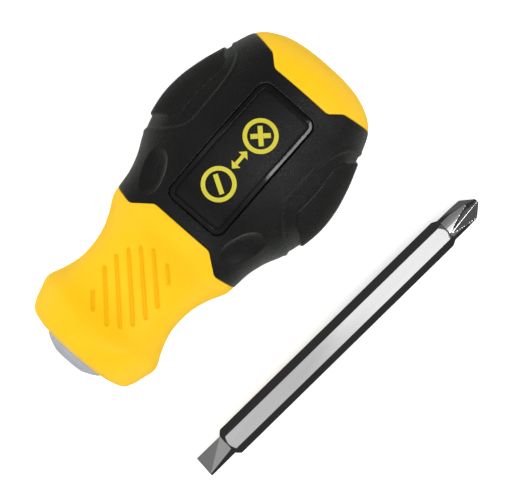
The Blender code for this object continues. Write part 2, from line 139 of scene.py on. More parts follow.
SIDE_RADIUS = 20.0                   # turns the angle from a side into millimetres round it
RIDGE_LINE = (
    (48.7, 0.0), (49.1, 5.0), (50.9, 12.0), (53.4, 16.5), (56.2, 18.7), (60.5, 18.9), (65.2, 18.2),
    (68.4, 17.2), (71.5, 15.4), (74.3, 12.0), (75.7, 7.2), (76.1, 0.0),
)
RIDGE_HEIGHT = 0.16
RIDGE_HALF_WIDTH = 0.4
HOLLOW_DEPTH = 0.29                  # of the strip between the ridge and the pad
HOLLOW_WALL = 1.0
PAD_OUTLINE = (
    (52.3, 5.0), (54.3, 12.6), (57.0, 15.4), (69.5, 13.9), (72.0, 11.0), (73.6, 6.0), (74.2, 2.0),
)
PAD_ROUNDING = 1.2
PAD_FOOT = -0.2                      # height of the grip round the pad, along the middle of the side
PAD_FOOT_RISE = 0.35                 # how much higher it is towards the broad faces
PAD_FOOT_SPAN = (6.0, 14.0)          # where it rises, in millimetres round the side
PAD_SEAT_DEPTH = 0.3                 # of the grip under the pad
PAD_SEAT_WALL = 0.5
PAD_BORDER_RISE = 0.28
PAD_CROWN = 0.13
PAD_CROWN_REACH = 7.0                # distance from its border at which the pad is highest
PAD_EDGE = 0.3
PAD_BASE = -0.6
KNURL_PITCH = 0.6
KNURL_DEPTH = 0.25
KNURL_BORDER = (0.1, 0.5)            # distances from the pad's border at which it starts and is full
KNURL_LINES = 6                      # mesh lines across a tooth's diagonal
DENT_MID = (43.4, 12.6)
DENT_RADII = (5.3, 2.6)
DENT_POWER = 2.3
DENT_BOWL = 3.0                      # exponent of its profile: the higher, the flatter its floor
DENT_DEPTH = 1.1
DENT_SLANT = math.radians(22)

BADGE_SECTION = (                    # inset from the outline, and height over the body line
    (0.0, -1.6), (0.0, -0.5), (0.03, -0.26), (0.09, -0.15), (0.17, -0.115), (0.24, -0.11),
    (0.86, -0.11), (0.93, -0.115), (1.02, -0.15), (1.08, -0.24), (1.12, -0.38), (1.24, -0.38), (1.3, -0.3),
)
BADGE_FRAME_WIDTH = 1.18
BADGE_SPINE_INSET = 8                # from the badge's ends to those of the line its faces close on
BADGE_UNDER_SHARES = (1.0, 0.66, 0.33)

PRINT_TOP = -0.22                    # height of the printed pictograms over the body line
PRINT_BASE = -0.36
ICON_RADIUS = 3.8
ICON_LINE = 0.95
ICON_MIDS = (50.4, 63.8)
SLOT_BAR = (4.4, 1.05)               # length and width
SLOT_BAR_TURN = math.radians(60)
CROSS_BAR = (4.3, 1.05)
CROSS_ARM = (1.6, 1.05)
CROSS_ARM_MID = 1.35
CROSS_TURN = math.radians(45)
ARROW_BAR = (2.2, 0.8)
ARROW_BASE = 1.12                    # from the arrow's middle to the base of each head
ARROW_TIP = 2.4
ARROW_HALF_HEIGHT = 1.25
ARROW_BLUNT = 0.97                   # share of a head's length at which its tip is cut off

# ---------------------- blade sizes, mostly as in the CAD
BLADE_LENGTH = 87.0
BLADE_FLATS = 6.35
BLADE_MID = (43.5, -42.2)            # its middle, from the nose tip and the handle's axis
HEX_EDGE_RADIUS = 0.06
SLOT_TIP_WIDTH = 5.5
SLOT_TIP_THICKNESS = 1.0
SLOT_TIP_ROLL = math.radians(-33)
SLOT_TIP_LENGTH = 7.5
SLOT_ROOT_RADIUS = 2.75
SLOT_ROOT_ANGLES = np.radians((17, 113, 197, 293))  # the CAD has 119.4 and 299.4 as second and last
SLOT_STEP = 0.05                     # from the slot tip's root out to the shoulder
SLOT_SHOULDER_LENGTH = 0.95          # the CAD has 1.3
SHOULDER_LENGTH = 1.3
CROSS_NECK_X = 77.3
CROSS_RADIUS = 3.0
CROSS_CONE_X = 84.2
CROSS_TIP_RADIUS = 0.55
CROSS_ROLL = math.radians(-25)
FLUTE_LENGTH = 9.3                   # the CAD has 8.7
FLUTE_TIP_DEPTH = 0.5
FLUTE_HALF_ANGLE = math.radians(57)
FLUTE_CURVE = 0.1                    # share of a flute root's rise that is curved
FLUTE_ROOT_ROUNDING = 0.13
FLUTE_EDGE_BLEND = 0.03
FLUTE_CROWDING = 0.8                 # how much closer the mesh lines lie along the flute roots
ROUNDING_ERROR = 1e-6

# ---------------------- rows and columns of the meshes
CURVE_STEPS = 16                     # points from one body station to the next
RIDGE_STEPS = 14
NOSE_STEPS = 8
NECK_FACE_COLUMNS = 121
NECK_SIDE_COLUMNS = 40
COLLAR_ROWS = 44
WAIST_ROWS = 18
SPINDLE_ROWS = np.linspace(0.02, 0.98, 14)      # shares of the way from seam to seam
BUTT_ROWS = 46
GRIP_ROWS = 166
GRIP_LIP_ROWS = 6
GRIP_INNER_ROWS = 12
GRIP_SIDE_COLUMNS = 203
GRIP_FACE_COLUMNS = 17
PAD_BASE_COLUMNS = 25
BADGE_CORNER_STEPS = 13
BADGE_SIDE_STEPS = (40, 16)          # along its long and its short sides
BADGE_FACE_ROWS = 13
BAR_POINTS = (9, 3)                  # along and across a printed bar
DISC_POINTS = (64, 4)                # round and across a printed ring
HEAD_POINTS = (6, 7)                 # along and across an arrowhead
SOCKET_COLUMNS = 180
STOP_COLUMNS = 96
WIRE_COLUMNS = 24
WIRE_ROWS = 73
WIRE_END_ROWS = 6
BLADE_COLUMNS = 360
SLOT_ROWS = 51
SHOULDER_ROWS = 14
HEXAGON_ROWS = 18
FLUTE_ROWS = 66
CONE_ROWS = 36

# ---------------------- materials
PATCH_DETAIL = 3.0
SMUDGE_DETAIL = 4.0
GRAIN_DETAIL = 2.0
GRAIN_DEPTH = 0.6                    # of a material's grain over its size
SMUDGE_SHARE = 0.6                   # size of the patches of uneven roughness over the colour's
NOISE_RANGE = (0.3, 0.7)             # values of the noise that are spread over a material's range

# ---------------------- camera
CAMERA_HEIGHT = 440.0                # above the handle's axis
CAMERA_POINT = (45.1, -14.95)        # handle station and Y that the camera looks straight down on
CAMERA_ROLL = math.radians(-48.78)
VIEW_WIDTH = 112.3                   # width of the picture at the height of the handle's axis
SENSOR = 36.0

# ---------------------- floor and surroundings
FLOOR_HALF_SIZE = 4.0                # metres
FLOOR_DROP = 0.2                     # keeps it clear of the object's underside
FLOOR_COLOR = (0.95, 0.95, 0.95, 1)
FLOOR_GLOW = 0.5
FLOOR_ROUGHNESS = 0.9

FLOOR_LIGHT = 0.036                  # brightness of the world below the horizon
WALL_LIGHT = 0.18
TENT_LIGHT = 0.43
HORIZON_Z = (-0.03, 0.06)            # where the walls fade in, in the direction's Z from -1 to 1
WALL_TOP_Z = (0.6, 0.7)              # where the walls give way to the tent
TENT_Z = (0.35, 1.0)
TENT_REAR_X = (-0.05, 0.25)          # where the tent dims towards +X
TENT_REAR_SHARE = 0.12
TENT_FRONT_X = (-0.65, -0.3)         # where it dims towards -X
TENT_FRONT_SHARE = 0.25
REAR_WALL_X = (0.15, 0.45)           # where the walls dim towards +X
REAR_WALL_SHARE = 0.45
FILL_TARGET = (0, 0, 0.02)
WHITE = (1, 1, 1, 1)


# ---------------------- frame
def handle_origin():
    """The nose tip on the handle's axis, in the frame's metres."""
    low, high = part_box("socket_insert")
    return low[0], (low[1] + high[1]) / 2, (low[2] + high[2]) / 2


def blade_direction():
    """The blade's own X, which points from its slot tip to its cross tip."""
    joint = next(j for j in frame["record"]["behaviour"]["joints"] if j["name"] == "blade_pull")
    return -joint["axis"][0], -joint["axis"][1]


# ---------------------- curves
def smooth_line(points, steps):
    """Catmull-Rom curve through the points."""
    p = np.array(points, float)
    p = np.vstack([2 * p[0] - p[1], p, 2 * p[-1] - p[-2]])
    t = (np.arange(steps) / steps)[:, None]
    spans = [b + (c - a) * t / 2 + (2 * a - 5 * b + 4 * c - d) * t**2 / 2
             + (3 * b - a - 3 * c + d) * t**3 / 2
             for a, b, c, d in zip(p, p[1:], p[2:], p[3:])]
    return np.vstack([*spans, p[-2:-1]])


def rounded(corners, radius, steps=8, closed=True):
    """Replace the corners of a polygon or an open line with arcs."""
    corners = [np.array(c, float) for c in corners]
    count = len(corners)
    line = []
    for i, corner in enumerate(corners):
        if not closed and i in (0, count - 1):
            line.append(corner)
            continue
        back = corners[i - 1] - corner
        ahead = corners[(i + 1) % count] - corner
        back /= np.linalg.norm(back)
        ahead /= np.linalg.norm(ahead)
        half_angle = math.acos(np.clip(back @ ahead, -1, 1)) / 2
        run = radius / math.tan(half_angle)
        middle = (back + ahead) / np.linalg.norm(back + ahead)
        centre = corner + middle * radius / math.sin(half_angle)
        start, end = corner + back * run - centre, corner + ahead * run - centre
        turn = math.atan2(start[0] * end[1] - start[1] * end[0], start @ end)
        for k in range(steps + 1):
            a = turn * k / steps
            line.append(centre + (start[0] * math.cos(a) - start[1] * math.sin(a),
                                  start[0] * math.sin(a) + start[1] * math.cos(a)))
    return np.array(line)


def full_turn(count):
    """Evenly spaced angles all the way round."""
    return np.linspace(0, 2 * math.pi, count + 1)[:-1]


def smooth_step(value, low, high):
    s = np.clip((value - low) / (high - low), 0, 1)
    return s * s * (3 - 2 * s)


def distance_to(x, y, line):
    """Distance of points from a closed line, and whether they are inside it."""
    nearest = np.full(x.shape, np.inf)
    inside = np.zeros(x.shape, bool)
    for (ax, ay), (bx, by) in zip(line, np.roll(line, -1, axis=0)):
        dx, dy = bx - ax, by - ay
        length = dx * dx + dy * dy
        if length == 0:
            continue
        s = np.clip(((x - ax) * dx + (y - ay) * dy) / length, 0, 1)
        nearest = np.minimum(nearest, np.hypot(x - ax - s * dx, y - ay - s * dy))
        crosses = (ay > y) != (by > y)
        if dy:
            inside ^= crosses & (x < ax + (y - ay) * dx / dy)
    return nearest, inside


# ---------------------- the handle's base surface
BODY = smooth_line(BODY_STATIONS, CURVE_STEPS)
BODY_RUN = np.concatenate([[0], np.cumsum(np.hypot(*np.diff(BODY, axis=0).T))])
BODY_SLOPE = np.gradient(BODY, BODY_RUN, axis=0)


def half_width(x):
    return np.interp(x, BODY[:, 0], BODY[:, 1])


def run_at(x):
    """Distance along the body line at a station."""
    return np.interp(x, BODY[:, 0], BODY_RUN)


def body_points(run, t, height=0.0):
    """Points on the handle's oval body, pushed out along its normal by a height."""
    x, r = (np.interp(run, BODY_RUN, BODY[:, i]) for i in (0, 1))
    dx, dr = (np.interp(run, BODY_RUN, BODY_SLOPE[:, i]) for i in (0, 1))
    x, r, dx, dr, t, height = np.broadcast_arrays(x, r, dx, dr, t, height)
    normal = np.stack([-SECTION_RATIO * dr, SECTION_RATIO * np.sin(t) * dx, np.cos(t) * dx], -1)
    normal /= np.linalg.norm(normal, axis=-1, keepdims=True)
    base = np.stack([x, r * np.sin(t), SECTION_RATIO * r * np.cos(t)], -1)
    return base + normal * height[..., None]


def round_points(x, radius, t):
    """A ring of points round the axis."""
    x, radius, t = np.broadcast_arrays(x, radius, t)
    return np.stack([x, radius * np.sin(t), radius * np.cos(t)], -1)


def edge_station(edge, t):
    """Station of a grip edge at each angle; the edge is drawn on the handle's broad face."""
    line = rounded(edge, EDGE_ROUNDING, closed=False)
    x = np.full(t.shape, float(edge[0][0]))
    for _ in range(EDGE_PASSES):
        x = np.interp(np.abs(half_width(x) * np.sin(t)), line[:, 1], line[:, 0])
    return x


# ---------------------- meshes
def grid_faces(rows, columns, wrap_rows=False, wrap_columns=True):
    r = np.arange(rows if wrap_rows else rows - 1)[:, None]
    c = np.arange(columns if wrap_columns else columns - 1)[None, :]
    ahead, across = (r + 1) % rows * columns, (c + 1) % columns
    quads = np.stack([r * columns + c, r * columns + across, ahead + across, ahead + c], -1)
    return quads.reshape(-1, 4).tolist()


def new_piece(name, vertices, faces, materials, body_name, node, sharp=None, merge=False):
    """A mesh from millimetre points in the handle's or the blade's frame, riding on its body."""
    mesh = bpy.data.meshes.new(name)
    mesh.from_pydata((np.asarray(vertices).reshape(-1, 3) * MM).tolist(), [], faces)
    weld = bmesh.new()
    weld.from_mesh(mesh)
    if merge:
        bmesh.ops.remove_doubles(weld, verts=weld.verts, dist=WELD_DISTANCE)
    if weld.calc_volume(signed=True) < 0:
        bmesh.ops.reverse_faces(weld, faces=weld.faces)
    weld.to_mesh(mesh)
    weld.free()
    for material in materials:
        mesh.materials.append(material)
    mesh.shade_smooth()
    if sharp:
        mesh.set_sharp_from_angle(angle=math.radians(sharp))
    piece = bpy.data.objects.new(name, mesh)
    bpy.context.scene.collection.objects.link(piece)
    piece.location = handle_origin()
    bpy.context.view_layer.update()
    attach(piece, body_name)
    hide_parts(node)
    return piece


def loft(name, rows, materials, body_name, node, ring=False, sharp=None):
    """A closed skin through equal rings of points: a torus, or capped at its first and last ring."""
    rows = np.array(rows)
    count, columns = rows.shape[:2]
    faces = grid_faces(count, columns, wrap_rows=ring)
    if not ring:
        faces += [list(range(columns))[::-1], list(range((count - 1) * columns, count * columns))]
    return new_piece(name, rows, faces, materials, body_name, node, sharp)


# ---------------------- yellow core
def neck_columns():
    """Angles round the neck, close together on the two broad faces where the grooves are."""
    fine = np.arcsin(np.linspace(-CORE_FINE_Y, CORE_FINE_Y, NECK_FACE_COLUMNS) / NECK_HALF_WIDTH)
    side = np.linspace(fine[-1], math.pi - fine[-1], NECK_SIDE_COLUMNS)[1:-1]
    return np.concatenate([fine, side, fine + math.pi, side + math.pi])


def neck_relief(points):
    """Hollow the thumb rests across the two broad faces and cut the diagonal grooves into them."""
    x, y, z = points[..., 0], points[..., 1], points[..., 2]
    face = np.sign(z)
    reach = np.abs(x - THUMB_REST_X)
    hollow = THUMB_REST_HALF_THICKNESS + THUMB_REST_RADIUS
    hollow = hollow - np.sqrt(np.maximum(THUMB_REST_RADIUS**2 - reach**2, 0))
    gap = np.abs(z) - hollow
    blend = np.maximum(THUMB_REST_BLEND - np.abs(gap), 0)**2 / (4 * THUMB_REST_BLEND)
    height = np.minimum(np.abs(z), hollow) - blend
    along = ((x - GROOVE_MID_X) + face * y) / math.sqrt(2)
    across = (face * y - (x - GROOVE_MID_X)) / math.sqrt(2)
    wall_start, wall_end = (share * GROOVE_HALF_WIDTH for share in GROOVE_WALL)
    cut = np.zeros(x.shape)
    for k in range(GROOVE_COUNT):
        place = (k - (GROOVE_COUNT - 1) / 2) * GROOVE_PITCH
        middle = GROOVE_STAGGER * place
        half_length = math.sqrt(GROOVE_FIELD_RADIUS**2 - place**2) - GROOVE_HALF_WIDTH
        distance = np.hypot(np.maximum(np.abs(along - middle) - half_length, 0), across - place)
        cut = np.maximum(cut, 1 - smooth_step(distance, wall_start, wall_end))
    raised = np.where(np.abs(z) > RELIEF_LEAST_Z, face * (height - GROOVE_DEPTH * cut), z)
    return np.stack([x, y, raised], -1)


def make_core(material):
    t = neck_columns()
    front, rear = edge_station(FRONT_EDGE, t), edge_station(REAR_EDGE, t)
    fine_start, fine_end = CORE_FINE_X
    waist, seam = run_at(fine_end), run_at(front - SEAM - SEAM_LIP)
    neck = [body_points(run, t) for run in np.linspace(0, run_at(fine_start), COLLAR_ROWS)[:-1]]
    neck += [body_points(run_at(x), t) for x in np.arange(fine_start, fine_end, CORE_FINE_STEP)]
    neck += [body_points(waist + (seam - waist) * s, t) for s in np.linspace(0, 1, WAIST_ROWS)]
    bore = SHANK_RADIUS + BORE_GAP
    mouth = NOSE_RADIUS + BORE_GAP
    bore_end = SOCKET_DEPTH + STOP_THICKNESS + 2 * BORE_GAP
    seat, collar = NOSE_SEAT_X + BORE_GAP, BODY_STATIONS[0][0]
    rows = [round_points(x, r, t) for x, r in (
        (bore_end, CAP_RADIUS), (bore_end, bore), (seat, bore), (seat, mouth),
        (collar + MOUTH_CHAMFER, mouth), (collar, mouth + MOUTH_CHAMFER))]
    rows += list(neck_relief(np.array(neck)))
    under = -SLEEVE_THICKNESS - CORE_CLEARANCE
    wall = (-SEAM_LIP, -CORE_WALL_DEPTH, under)
    rows += [body_points(run_at(front - SEAM), t, h) for h in wall]
    rows += [body_points(run_at(front + (rear - front) * s), t, under) for s in SPINDLE_ROWS]
    rows += [body_points(run_at(rear + SEAM), t, h) for h in wall[::-1]]
    butt = run_at(rear + SEAM + SEAM_LIP)
    rows += [body_points(butt + (BODY_RUN[-1] - butt) * s, t) for s in np.linspace(0, BUTT_END, BUTT_ROWS)]
    core = loft("handle_core_skin", rows, [material], "handle", "handle_core", sharp=50)
    core.visible_glossy = False          # the photo's blade mirrors no yellow


# ---------------------- black grip
def side_run(t):
    """Millimetres round the handle from the middle of its nearer side."""
    turn = (t + math.pi) % (2 * math.pi) - math.pi
    return SIDE_RADIUS * (math.pi / 2 - np.abs(turn))


def mirrored(outline, rounding):
    """A closed outline round a side's middle from its half in front of it."""
    return rounded((*outline, *((x, -a) for x, a in reversed(outline))), rounding)


def ridge_line():
    """The closed line of the ridge round a finger pad, in station and millimetres round the side."""
    half = smooth_line(RIDGE_LINE, RIDGE_STEPS)
    return np.concatenate([half, half[-2:0:-1] * (1, -1)])


def grip_relief(x, t):
    """Height of the grip's surface over the body: ridge, hollow strip round the pad, and dents."""
    a = side_run(t)
    ridge, inside = distance_to(x, a, ridge_line())
    pad, on_pad = distance_to(x, a, mirrored(PAD_OUTLINE, PAD_ROUNDING))
    height = RIDGE_HEIGHT * (1 - smooth_step(ridge, 0, 2 * RIDGE_HALF_WIDTH))
    foot = PAD_FOOT + PAD_FOOT_RISE * smooth_step(np.abs(a), *PAD_FOOT_SPAN)
    slope = -HOLLOW_DEPTH + (foot + HOLLOW_DEPTH) * ridge / (ridge + pad + TINY)
    strip = np.where(on_pad, foot - PAD_SEAT_DEPTH * smooth_step(pad, 0, PAD_SEAT_WALL), slope)
    height += np.where(inside, strip * smooth_step(ridge, 0, HOLLOW_WALL), 0)
    y = np.abs(half_width(x) * np.sin(t))
    along = (x - DENT_MID[0]) * math.cos(DENT_SLANT) + (y - DENT_MID[1]) * math.sin(DENT_SLANT)
    across = (y - DENT_MID[1]) * math.cos(DENT_SLANT) - (x - DENT_MID[0]) * math.sin(DENT_SLANT)
    reach = (np.abs(along / DENT_RADII[0])**DENT_POWER + np.abs(across / DENT_RADII[1])**DENT_POWER)
    return height - DENT_DEPTH * np.maximum(1 - reach**(DENT_BOWL / DENT_POWER), 0)


def grip_columns():
    """Angles round the grip, wide apart under the badges and close together elsewhere."""
    badge = math.asin(BADGE_POCKET_Y / MAX_HALF_WIDTH)
    wide = np.linspace(-badge, badge, GRIP_FACE_COLUMNS)
    close = np.linspace(badge, math.pi - badge, GRIP_SIDE_COLUMNS)[1:-1]
    return np.concatenate([wide, close, wide + math.pi, close + math.pi])


def make_grip(material):
    t = grip_columns()
    front, rear = edge_station(FRONT_EDGE, t), edge_station(REAR_EDGE, t)
    lip_steps = GRIP_LIP * (1 - np.cos(np.linspace(0, math.pi / 2, GRIP_LIP_ROWS)))
    run = rear - front - 2 * GRIP_LIP
    stations = [front + d for d in lip_steps]
    stations += [front + GRIP_LIP + run * s for s in np.linspace(0, 1, GRIP_ROWS)[1:-1]]
    stations += [rear - d for d in lip_steps[::-1]]
    x = np.array(stations)
    into_lip = GRIP_LIP - np.minimum(np.minimum(x - front, rear - x), GRIP_LIP)
    drop = GRIP_LIP - np.sqrt(np.maximum(GRIP_LIP**2 - into_lip**2, 0))
    rows = list(body_points(run_at(x), t, grip_relief(x, t) - drop))
    wall = (-GRIP_WALL_DEPTH, -SLEEVE_THICKNESS)
    inner = np.linspace(0, 1, GRIP_INNER_ROWS)[1:-1]
    rows += [body_points(run_at(rear), t, h) for h in wall]
    rows += [body_points(run_at(rear + (front - rear) * s), t, -SLEEVE_THICKNESS) for s in inner]
    rows += [body_points(run_at(front), t, h) for h in wall[::-1]]
    grip = loft("grip_sleeve_skin", rows, [material], "handle", "grip_sleeve", ring=True)
    for side in (1, -1):
        cut_badge_pocket(grip, side)


def badge_ring(inset):
    """Rounded rectangle of the badge, moved in, with the same number of points at every inset."""
    corner = max(BADGE_CORNER - inset, BADGE_LEAST_CORNER)
    x0, x1 = BADGE_X[0] + inset + corner, BADGE_X[1] - inset - corner
    y = BADGE_HALF_WIDTH - inset - corner
    middles = np.array(((x1, y), (x0, y), (x0, -y), (x1, -y)))
    ring = []
    for k, (middle, next_middle) in enumerate(zip(middles, np.roll(middles, -1, axis=0))):
        arc = np.radians(90 * k + np.linspace(0, 90, BADGE_CORNER_STEPS))
        ring += list(middle + corner * np.stack([np.cos(arc), np.sin(arc)], -1))
        steps = BADGE_SIDE_STEPS[k % 2]
        ring += [ring[-1] + (next_middle - middle) * i / steps for i in range(1, steps)]
    return np.array(ring)


def face_points(xy, height, side):
    """Points over the handle's front (side 1) or back (side -1) face."""
    r = half_width(xy[:, 0]) + height
    z = SECTION_RATIO * np.sqrt(np.maximum(r**2 - xy[:, 1]**2, 0))
    return np.stack([xy[:, 0], xy[:, 1], side * z], -1)


def cut_badge_pocket(grip, side):
    ring = badge_ring(-BADGE_GAP)
    mesh = bpy.data.meshes.new("pocket")
    high = np.column_stack([ring, np.full(len(ring), side * POCKET_TOP)])
    rows = np.array([face_points(ring, POCKET_FLOOR, side), high])
    count = len(ring)
    faces = grid_faces(2, count) + [list(range(count))[::-1], list(range(count, 2 * count))]
    mesh.from_pydata((rows.reshape(-1, 3) * MM).tolist(), [], faces)
    weld = bmesh.new()
    weld.from_mesh(mesh)
    bmesh.ops.recalc_face_normals(weld, faces=weld.faces)
    weld.to_mesh(mesh)
    weld.free()
    cutter = bpy.data.objects.new("pocket", mesh)
    bpy.context.scene.collection.objects.link(cutter)
    cutter.matrix_world = grip.matrix_world
    modifier = grip.modifiers.new("pocket", "BOOLEAN")
    modifier.operation = "DIFFERENCE"
    modifier.solver = "MANIFOLD"
    modifier.object = cutter
    bpy.context.view_layer.update()
    graph = bpy.context.evaluated_depsgraph_get()
    result = bpy.data.meshes.new_from_object(grip.evaluated_get(graph))
    grip.modifiers.clear()
    grip.data = result
    result.set_sharp_from_angle(angle=GRIP_SHARP_ANGLE)
    bpy.data.objects.remove(cutter)


def make_pad(name, side, material):
    """Raised finger pad with a fine diamond knurl, as a closed slab let into the grip."""
    outline = mirrored(PAD_OUTLINE, PAD_ROUNDING)
    low, high = outline[:, 0].min(), outline[:, 0].max()
    upper = outline[outline[:, 1] > 0]
    upper = upper[np.argsort(upper[:, 0])]
    step = KNURL_PITCH * math.sqrt(2) / KNURL_LINES
    xs = np.clip(np.arange(math.floor(low / step), math.ceil(high / step) + 1) * step, low, high)
    reach = np.interp(xs, upper[:, 0], upper[:, 1])
    widest = math.ceil(reach.max() / step)
    lattice = np.arange(-widest, widest + 1) * step
    a = np.clip(lattice[None, :], -reach[:, None], reach[:, None])
    x = np.broadcast_to(xs[:, None], a.shape)
    border, _ = distance_to(x, a, outline)
    tooth = [1 - np.abs(2 * np.mod(line / KNURL_PITCH, 1) - 1)
             for line in ((x + a) / math.sqrt(2), (x - a) / math.sqrt(2))]
    knurl = KNURL_DEPTH * np.minimum(*tooth) * smooth_step(border, *KNURL_BORDER)
    edge = np.sqrt(np.maximum(1 - (1 - np.minimum(border / PAD_EDGE, 1))**2, 0))
    crown = PAD_CROWN * smooth_step(border, 0, PAD_CROWN_REACH)
    height = PAD_BORDER_RISE - PAD_EDGE * (1 - edge) + crown + knurl
    t = side * (math.pi / 2 - a / SIDE_RADIUS)
    top = body_points(run_at(x), t, height)
    base_a = np.linspace(-1, 1, PAD_BASE_COLUMNS)[None, :] * reach[:, None]
    base = body_points(run_at(xs)[:, None], side * (math.pi / 2 - base_a / SIDE_RADIUS), PAD_BASE)
    rows, columns = a.shape
    offset = rows * columns
    base_faces = grid_faces(rows, PAD_BASE_COLUMNS, wrap_columns=False)
    faces = grid_faces(rows, columns, wrap_columns=False)
    faces += [[offset + i for i in face[::-1]] for face in base_faces]
    for i in range(rows - 1):
        for near, far, j, k in ((i, i + 1, 0, 0), (i + 1, i, columns - 1, PAD_BASE_COLUMNS - 1)):
            faces.append([near * columns + j, far * columns + j,
                          offset + far * PAD_BASE_COLUMNS + k, offset + near * PAD_BASE_COLUMNS + k])
    for i, flip in ((0, -1), (rows - 1, 1)):
        end = list(range(i * columns, (i + 1) * columns))
        end += list(range(offset + i * PAD_BASE_COLUMNS, offset + (i + 1) * PAD_BASE_COLUMNS))[::-1]
        faces.append(end[::flip])
    vertices = np.concatenate([top.reshape(-1, 3), base.reshape(-1, 3)])
    new_piece(name, vertices, faces, [material], "handle", "grip_sleeve",
              sharp=60, merge=True)


# ---------------------- badges
def spine_rows(inset, height, shares, side):
    """Badge rings that close in on a line along its middle, at shares of the way to it."""
    ring = badge_ring(inset)
    spine = ring * (1, 0)
    spine[:, 0] = np.clip(ring[:, 0], BADGE_X[0] + BADGE_SPINE_INSET, BADGE_X[1] - BADGE_SPINE_INSET)
    return [face_points(ring + (spine - ring) * s, height, side) for s in shares]


def make_badge(name, side, node, frame_material, face_material):
    """Plate with a rounded glossy frame, a fine groove inside it and a grained face."""
    rows = spine_rows(*BADGE_SECTION[0], BADGE_UNDER_SHARES, side)
    rows += [face_points(badge_ring(inset), height, side) for inset, height in BADGE_SECTION]
    rows += spine_rows(*BADGE_SECTION[-1], np.linspace(0, 1, BADGE_FACE_ROWS)[1:], side)
    faces = grid_faces(len(rows), len(rows[0]))
    piece = new_piece(name, rows, faces, [frame_material, face_material], "handle", node,
                      sharp=50, merge=True)
    edge = badge_ring(BADGE_FRAME_WIDTH) * MM
    x0, x1, y1 = edge[:, 0].min(), edge[:, 0].max(), edge[:, 1].max()
    for polygon in piece.data.polygons:
        x, y, _ = polygon.center
        polygon.material_index = int(x0 < x < x1 and abs(y) < y1)


def bar_patch(middle, length, width, turn):
    """A bar as a grid of plan points."""
    u, v = np.meshgrid(*(size / 2 * np.linspace(-1, 1, count)
                         for size, count in zip((length, width), BAR_POINTS)))
    c, s = math.cos(turn), math.sin(turn)
    return np.stack([middle[0] + u * c - v * s, middle[1] + u * s + v * c], -1)


def ring_patch(middle, radius, width):
    around, across = DISC_POINTS
    a, r = np.meshgrid(full_turn(around), np.linspace(radius - width, radius, across))
    return np.stack([middle + r * np.cos(a), r * np.sin(a)], -1)


def head_patch(base_x, tip_x, half_height):
    """An arrowhead that narrows from its base to its tip."""
    along, across = HEAD_POINTS
    s, v = np.meshgrid(np.linspace(0, ARROW_BLUNT, along), np.linspace(-half_height, half_height, across))
    return np.stack([base_x + (tip_x - base_x) * s, v * (1 - s)], -1)


def pictograms():
    """Generic signs for the two tips: a slotted head, a double arrow and a cross head.

    Each patch is a grid of plan points, with whether its columns go all the way round.
    """
    slot_x, cross_x = ICON_MIDS
    middle = (slot_x + cross_x) / 2
    patches = [(ring_patch(x, ICON_RADIUS, ICON_LINE), True) for x in ICON_MIDS]
    bars = [((slot_x, 0), *SLOT_BAR, SLOT_BAR_TURN), ((cross_x, 0), *CROSS_BAR, CROSS_TURN)]
    for turn in (CROSS_TURN + math.pi / 2, CROSS_TURN - math.pi / 2):
        arm = (cross_x + CROSS_ARM_MID * math.cos(turn), CROSS_ARM_MID * math.sin(turn))
        bars.append((arm, *CROSS_ARM, turn))
    bars.append(((middle, 0), *ARROW_BAR, 0.0))
    patches += [(bar_patch(*bar), False) for bar in bars]
    for way in (1, -1):
        head = head_patch(middle + ARROW_BASE * way, middle + ARROW_TIP * way, ARROW_HALF_HEIGHT)
        patches.append((head, False))
    return patches


def rim_lines(rows, columns, wrap):
    """The open edges of a grid as lines of point numbers."""
    count = rows * columns
    lines = [list(range(columns)), list(range(count - columns, count))[::-1]]
    if wrap:
        return [line + line[:1] for line in lines]
    return lines + [list(range(columns - 1, count, columns)), list(range(0, count, columns))[::-1]]


def make_print(name, side, node, material):
    """The pictograms as thin closed plates on a badge."""
    vertices, faces = [], []
    for patch, wrap in pictograms():
        rows, columns = patch.shape[:2]
        first = sum(len(v) for v in vertices)
        under = first + rows * columns
        flat = patch.reshape(-1, 2)
        vertices += [face_points(flat, PRINT_TOP, side), face_points(flat, PRINT_BASE, side)]
        top = grid_faces(rows, columns, wrap_columns=wrap)
        faces += [[first + i for i in face] for face in top]
        faces += [[under + i for i in face[::-1]] for face in top]
        for line in rim_lines(rows, columns, wrap):
            faces += [[first + j, first + i, under + i, under + j] for i, j in zip(line, line[1:])]
    new_piece(name, np.concatenate(vertices), faces, [material], "handle", node, sharp=50)


# ---------------------- socket, ring and stop
def hexagon_radius(angle, flats, edge_radius):
    """Distance from the axis of a hexagon with rounded edges and a pair of flats at +-90 degrees."""
    half = flats / 2
    off = np.abs((angle - math.pi / 2 + math.pi / 6) % (math.pi / 3) - math.pi / 6)
    centre = (half - edge_radius) / math.cos(math.pi / 6)
    turn = math.pi / 6 - off
    bend = centre * np.cos(turn) + np.sqrt(np.maximum(edge_radius**2 - (centre * np.sin(turn))**2, 0))
    meets = math.atan((half - edge_radius) * math.tan(math.pi / 6) / half)
    return np.where(off > meets, bend, half / np.cos(off))


